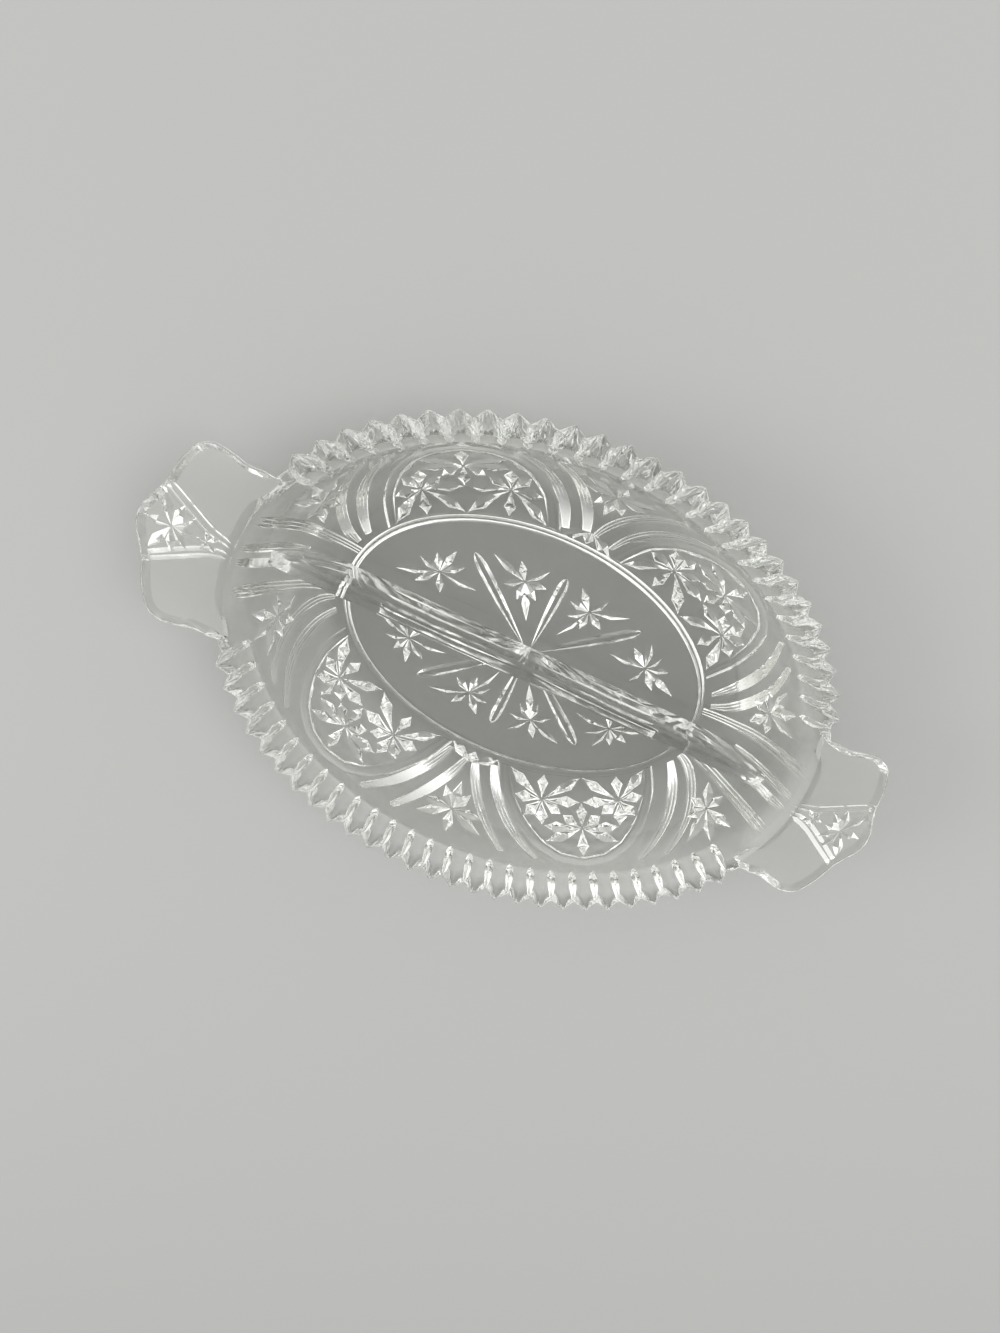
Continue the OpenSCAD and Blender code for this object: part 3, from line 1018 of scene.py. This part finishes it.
# Stars on the wall: angle, share, and the direction and reach of each leaf
side_star = (90, 0.62, [
    (0, 13), (28, 15.5), (90, 11), (152, 15.5), (180, 13), (235, 10.5), (270, 12.8), (305, 10.5),
])
corner_star = (19.4, 0.65, [
    (-5, 8.5), (37, 15.5), (69, 14.5), (106, 13.5), (180, 8.5), (228, 11.8), (290, 8),
])
foot_star = (90, 0.13, [(-29, 13.5), (209, 13.5), (270, 5.5)])
star_leaf_half_w = 2.3
between_stars = (0.5, (star_row + top_row) / 2)
# Leaves of the lattice under an arch, from a star's middle: column and row of both ends
half_lattice = [
    [(1, star_row), (0, foot_row)], [(1, star_row), (1, foot_row)], [(1, star_row), side_edge[0]],
    [(1, star_row), side_edge[1]], [(1, star_row), side_edge[2]], [(1, star_row), (1, top_row)],
    [(1, star_row), between_stars], [(1, star_row), (0, star_row)], [(0, top_row), (1, top_row)],
    [(0, top_row), side_edge[4]], [(0, top_row), between_stars],
]
middle_lattice = [[(0, top_row), (0, star_row)], [(0, top_row), (0, arch_top)]]
# Neighbouring leaves overlap at their star's middle, so they are cut in two sets, in turn
lattice_sets = [0, 1, 0, 1, 0, 1, 0, 1, 1, 0, 0]
middle_sets = [1, 1]
leaf_span_share = 0.97
lattice_leaf_half_w = 2.75
# Notch between two teeth, where the band begins
notch_share = 0.985
notch_reach = 10.5
notch_half_w = 1.5


def lattice_leaves():
    """Leaves of one arch in the first quarter: angle, share, direction, reach and their set."""
    mirrored = [[(-column, share) for column, share in leaf] for leaf in half_lattice]
    sets = [*lattice_sets, *lattice_sets, *middle_sets]
    leaves = []
    for (start, end), half in zip(half_lattice + mirrored + middle_lattice, sets):
        angle, share = lattice_place(*start)
        end_angle, end_share = lattice_place(*end)
        along = (end_angle - angle) * mm_per_degree(angle, share)
        up = (end_share - share) * wall_run
        direction = math.degrees(math.atan2(up, along))
        leaves.append((angle, share, direction, math.hypot(along, up) * leaf_span_share, half))
    return leaves


def notch_angles():
    """Angles of the valleys between the teeth of the rear side."""
    turns = np.linspace(-math.pi / 2, math.pi / 2, rim_steps + 1)
    points = np.stack([rim_half_length * np.sin(turns), rim_half_width * np.cos(turns)], 1)
    runs = runs_along(points)
    runs -= runs[-1] / 2
    valleys = (np.arange(teeth + 1) - teeth / 2) * tooth_pitch
    return 90 - np.degrees(np.interp(valleys, runs, turns))


flat_labels = ("turn", "reach", "half_width", "depth")
leaf_labels = ("angle", "share", *flat_labels, "angle_per_mm", "share_per_mm")


def leaf_row(angle, share, direction, reach, half_w, sx, sy):
    """Values of one leaf, in the order of their labels."""
    return (
        quarter_angle(angle, sx, sy), share, direction, reach, half_w, half_w,
        sx * sy / mm_per_degree(angle, min(share, 1)), 1 / wall_run,
    )


def star_rows(star, sx, sy):
    angle, share, leaves = star
    return [leaf_row(angle, share, *leaf, star_leaf_half_w, sx, sy) for leaf in leaves]


def laid_cuts(name, rows, stations, widths, depths=None):
    """Cutter with a unit cut at each row of values, laid on the wall."""
    spots = marked_points("leaf_places", [(0, 0, 0)] * len(rows), leaf_labels, rows)
    unit = unit_cut("unit_leaf", stations, widths, False, depths=depths)
    cuts = grow(name, spots, wall_cuts_tree, {"Unit cut": unit, **wall_values})
    discard(unit)
    return outward(cuts)


def wall_cuts():
    """Cutters of the stars and of the lattices, in two sets each, and of the notches."""
    stars = [star_rows(corner_star, sx, sy) for sx, sy in quarters]
    stars += [star_rows(star, 1, sy) for star in (side_star, foot_star) for sy in (1, -1)]
    notches = [
        leaf_row(angle, notch_share, 90, notch_reach, notch_half_w, 1, sy)
        for angle in notch_angles() for sy in (1, -1)
    ]
    lattices = [(*leaf, sx, sy) for leaf in lattice_leaves() for sx, sy in quarters]
    pieces = []
    for half in (0, 1):
        rows = [row for star in stars for row in star[half::2]]
        pieces.append(laid_cuts("star_cuts", rows, star_stations, star_widths))
        rows = [
            leaf_row(*leaf, lattice_leaf_half_w, sx, sy)
            for *leaf, leaf_set, sx, sy in lattices if leaf_set == half
        ]
        pieces.append(
            laid_cuts("lattice_cuts", rows, lattice_stations, lattice_widths, lattice_depths)
        )
    return pieces + [laid_cuts("notches", notches, notch_stations, notch_widths)]


# Rays under the floor, on a circle drawn out along the tray: how far each tip is from its middle
floor_stretch = 1.31
ray_tips = [45, 38, 33, 38, 45, 38, 33, 38]
ray_start = 3.0
ray_half_w = 2.1
ray_depth = 1.5
ray_bottom_share = 0.4
# Flowers of the first quarter: place of the middle, and the direction and reach of each petal
side_flower = (13.6, 25, [
    (17, 15.8), (55, 8.2), (132, 10), (174, 8.7), (215, 8.5), (242, 15.3), (268, 7.5), (330, 8.3),
])
end_flower = (44, 14.5, [
    (15, 9.4), (60, 7.5), (105, 10.2), (145, 10), (182, 15.5), (245, 8), (315, 10), (340, 16.5),
])
petal_half_w = 1.55
petal_depth = 1.5

# Fan under the right handle: its star, and the small crossing nearer the rim
fan_stars = [
    (127, [(0, 8), (63, 11.5), (105, 8.5), (140, 8), (180, 7), (220, 8), (255, 8.5), (297, 11.5)]),
    (115.5, [(0, 3.5), (70, 3.4), (145, 4.5), (215, 4.5), (290, 3.4)]),
]
fan_leaf_half_w = 1.9
fan_leaf_slimness = 5


def flat_cuts(name, places, rows, stations, widths, bottom=0.0):
    """Cutter with a unit cut at each place, opening downwards."""
    unit = unit_cut("unit_" + name, stations, widths, True, bottom)
    spots = marked_points(name + "_places", places, flat_labels, rows)
    cuts = grow(name, spots, flat_cuts_tree, {"Unit cut": unit, "Material": glass})
    discard(unit)
    return outward(cuts)


def ray_cuts():
    places, rows = [], []
    for k, tip in enumerate(ray_tips):
        a = math.radians(360 * k / len(ray_tips))
        way = np.array([math.cos(a) * floor_stretch, math.sin(a)])
        start = way * ray_start
        reach = np.linalg.norm(way) * (tip - ray_start)
        places.append((*start, foot_h))
        rows.append((math.degrees(math.atan2(way[1], way[0])), reach, ray_half_w, ray_depth))
    return [flat_cuts("rays", places, rows, ray_stations, ray_widths, ray_bottom_share)]


def in_two_sets(name, flowers, stations, widths):
    """Cutters of flowers, each a place and the rows of its leaves, which overlap by turns."""
    pieces = []
    for half in (0, 1):
        leaves = [(place, row) for place, rows in flowers for row in rows[half::2]]
        places, rows = zip(*leaves)
        pieces.append(flat_cuts(name, places, rows, stations, widths))
    return pieces


def petal_cuts():
    flowers = []
    for sx, sy in quarters:
        for x, y, petals in (side_flower, end_flower):
            turned = [(quarter_angle(direction, sx, sy), reach) for direction, reach in petals]
            rows = [(*petal, petal_half_w, petal_depth) for petal in turned]
            flowers.append(((sx * x, sy * y, foot_h), rows))
    return in_two_sets("petals", flowers, petal_stations, petal_widths)


def fan_cuts():
    flowers = []
    for side in (1, -1):
        for x, leaves in fan_stars:
            rows = []
            for direction, reach in leaves:
                half_w = min(fan_leaf_half_w, reach / fan_leaf_slimness)
                rows.append((direction + 90 * (1 - side), reach, half_w, half_w))
            flowers.append(((side * x, 0, handle_foot), rows))
    return in_two_sets("fan_leaves", flowers, star_stations, star_widths)


# Rib under a handle, from the rim to the notch in its edge: along, across and half width
handle_rib_run = [[108.5, 1.9, 1.4], [115, 3.4, 2.1], [123, 7.6, 2.3], [131.2, 12.2, 2.0]]


def handle_ribs():
    pieces = []
    for ridge in handle_ridges:
        (run,) = ridge_runs([handle_rib_run], ridge, lambda x, y, off: (x, y + off))
        lines = [[(sx * x, sy * y, width) for x, y, width in run] for sx, sy in quarters]
        points = rib_lines("handle_rib_lines", lines)
        for vertex in points.data.vertices:
            vertex.co.z = handle_foot - vertex.co.z
        values = {"Rib sides": rib_sides, "Material": glass}
        pieces.append(outward(grow("handle_ribs", points, flat_ribs_tree, values)))
    return pieces


# The tray

def pressed_tray():
    tray = combine(tray_shell(), joined(handle(1), handle(-1), divider()), "UNION")
    for piece in (*wall_ribs(), *handle_ribs()):
        tray = combine(tray, piece, "UNION")
    for piece in (arch_fields(), *wall_cuts(), *ray_cuts(), *petal_cuts(), *fan_cuts()):
        tray = combine(tray, piece, "DIFFERENCE")
    return tray


def without_scraps(obj):
    """Removes what the cuts leave loose: pairs of faces back to back on the same corners."""
    with mesh_work(obj) as work:
        scraps = [v for v in work.verts if len({frozenset(f.verts) for f in v.link_faces}) == 1]
        bmesh.ops.delete(work, geom=scraps, context="VERTS")
    return obj


sharp_angle = 24


def finish_glass(tray):
    tray.name = "pressed_glass_tray"
    tray.data.name = "pressed_glass_tray"
    tray.data.transform(Matrix.Scale(MM, 4))
    tray.data.materials.clear()
    tray.data.materials.append(glass)
    for face in tray.data.polygons:
        face.material_index = 0
        face.use_smooth = True
    tray.data.set_sharp_from_angle(angle=math.radians(sharp_angle))
    return tray


tray = finish_glass(without_scraps(pressed_tray()))
discard(quarter_points, wall_section)
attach(tray, "root")
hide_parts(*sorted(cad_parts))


# Floor, light and camera, in metres

floor_half_size = 20.0
# Lamps: place, width and power, all aimed at the tray
lamps = {"overhead": ((0.5, 0.4, 1.1), 0.7, 6), "side": ((-0.9, -0.3, 0.6), 0.5, 4)}
# Where the dome of soft light is brightest
bright_side = (-0.55, 0.3, 0.85)


def pale_floor():
    size = floor_half_size
    floor = mesh_object("studio_floor", [
        (-size, -size, 0), (size, -size, 0), (size, size, 0), (-size, size, 0),
    ], [(0, 1, 2, 3)])
    material = bpy.data.materials.new("pale_floor")
    fill(*shader_of(material), {
        "Base Color": (0.35, 0.35, 0.343, 1), "Roughness": 0.9, "Specular IOR Level": 0.1,
    })
    floor.data.materials.append(material)


def area_light(name, place, size, power):
    lamp = bpy.data.lights.new(name, "AREA")
    lamp.shape = "DISK"
    lamp.size = size
    lamp.energy = power
    obj = link(bpy.data.objects.new(name, lamp))
    obj.location = place
    obj.rotation_euler = (-Vector(place)).to_track_quat("-Z", "Y").to_euler()
    obj.visible_glossy = False
    obj.visible_transmission = False


def studio_light():
    """Soft dome that is brightest on one side, and two lamps."""
    world = bpy.data.worlds.new("soft_studio")
    bpy.context.scene.world = world
    world.use_nodes = True
    tree = world.node_tree
    heading = tree.nodes.new("ShaderNodeTexCoord").outputs["Generated"]
    toward = add_node(tree, "ShaderNodeVectorMath", {"operation": "DOT_PRODUCT"})
    for slot, value in zip(toward.inputs, (heading, Vector(bright_side).normalized())):
        plug(tree, slot, value)
    dome = add_node(
        tree, "ShaderNodeMapRange", Value=toward.outputs["Value"], From_Min=-0.2, From_Max=1,
        To_Min=0.4, To_Max=1.5,
    )
    fill(tree, tree.nodes["Background"], {"Color": (1, 1, 0.99, 1), "Strength": dome})
    for name, lamp in lamps.items():
        area_light(name, *lamp)


# The photograph was taken from close above one long side, with that side at its top
camera_place = Vector((-0.0478, 0.0834, 0.2699))
camera_aim = Vector((-0.0132, 0.0040, 0.042))
picture_up_angle = 115.8
camera_lens = 19.71


def photo_camera():
    data = bpy.data.cameras.new("photo_camera")
    data.lens = camera_lens
    data.sensor_width = 36
    data.clip_start = 0.01
    camera = link(bpy.data.objects.new("photo_camera", data))
    back = (camera_place - camera_aim).normalized()
    a = math.radians(picture_up_angle)
    right = Vector((math.cos(a), math.sin(a), 0)).cross(back).normalized()
    up = back.cross(right)
    turn = Matrix((right, up, back)).transposed().to_4x4()
    camera.matrix_world = Matrix.Translation(camera_place) @ turn
    bpy.context.scene.camera = camera


pale_floor()
studio_light()
photo_camera()
scene = bpy.context.scene
scene.view_settings.view_transform = "Standard"
# Light turns many times inside cut glass
scene.cycles.max_bounces = 40
scene.cycles.glossy_bounces = 32
scene.cycles.transmission_bounces = 32
